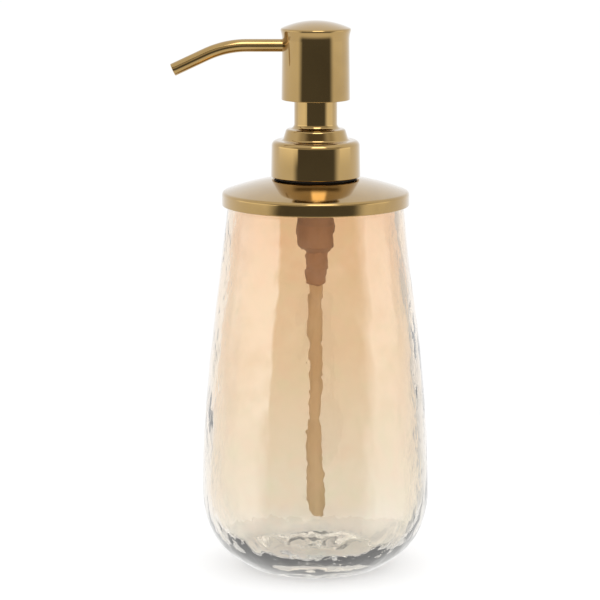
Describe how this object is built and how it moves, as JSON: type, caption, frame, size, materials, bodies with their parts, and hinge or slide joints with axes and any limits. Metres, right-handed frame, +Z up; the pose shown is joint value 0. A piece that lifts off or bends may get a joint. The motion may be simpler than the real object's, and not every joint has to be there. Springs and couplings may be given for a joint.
{
  "type": "soap pump dispenser",
  "caption": "Hammered glass soap dispenser with a domed brass lid, a screw-on stepped brass cap, and a brass pump head with a bent spout that presses down and turns.",
  "frame": {"origin": "centre of the bottle's flat base, on the surface that it stands on", "axes": "+Z up along the axis of the bottle and the pump; the spout points along -X; +Y is away from the viewer who sees the spout on the left"},
  "size_m": [0.0889, 0.0788, 0.1894],
  "materials": {
    "amber_glass": "clear, hammered",
    "polished_brass": "polished",
    "natural_plastic": "moulded, slightly milky",
    "white_plastic": "moulded",
    "dark_plastic": "moulded",
    "soft_seal": "matte",
    "piston_rubber": "matte",
    "steel": "bright"
  },
  "bodies": {
    "bottle": {"bottle": "amber_glass", "mouth_seal": "soft_seal", "neck_insert": "dark_plastic", "lid_plate": "polished_brass"},
    "pump": {"pump_housing": "natural_plastic", "neck_gasket": "soft_seal", "dip_tube": "natural_plastic", "valve_cage": "white_plastic", "spring": "steel", "lock_ring": "white_plastic"},
    "cap": {"closure": "dark_plastic", "cap_shell": "polished_brass"},
    "piston": {"piston_seal": "piston_rubber"},
    "head": {"plunger": "white_plastic", "stem": "white_plastic", "head_core": "white_plastic", "head_shell": "polished_brass", "spout": "polished_brass"},
    "inlet_valve": {"inlet_ball": "steel"},
    "outlet_valve": {"outlet_ball": "steel"}
  },
  "joints": [
    {"name": "pump_lift", "type": "slide", "parent": "bottle", "child": "pump", "axis": [0, 0, 1], "range_m": [0, 0.00317]},
    {"name": "cap_turn", "type": "hinge", "parent": "pump", "child": "cap", "pos_m": [0, 0, 0.142], "axis": [0, 0, 1], "range_deg": [0, 270]},
    {"name": "head_press", "type": "slide", "parent": "pump", "child": "piston", "axis": [0, 0, -1], "range_m": [0, 0.009], "stiffness_N_per_m": 560, "springref_m": -0.008, "deforming": ["spring"]},
    {"name": "head_turn", "type": "hinge", "parent": "piston", "child": "head", "pos_m": [0, 0, 0.17], "axis": [0, 0, 1], "continuous": true},
    {"name": "inlet_ball_lift", "type": "slide", "parent": "pump", "child": "inlet_valve", "axis": [0, 0, 1], "range_m": [0, 0.0011]},
    {"name": "outlet_ball_lift", "type": "slide", "parent": "head", "child": "outlet_valve", "axis": [0, 0, 1], "range_m": [0, 0.0011]}
  ],
  "couplings": [
    {"joint": "cap_turn", "follows": "pump_lift", "rad_per_m": 1485.4}
  ]
}
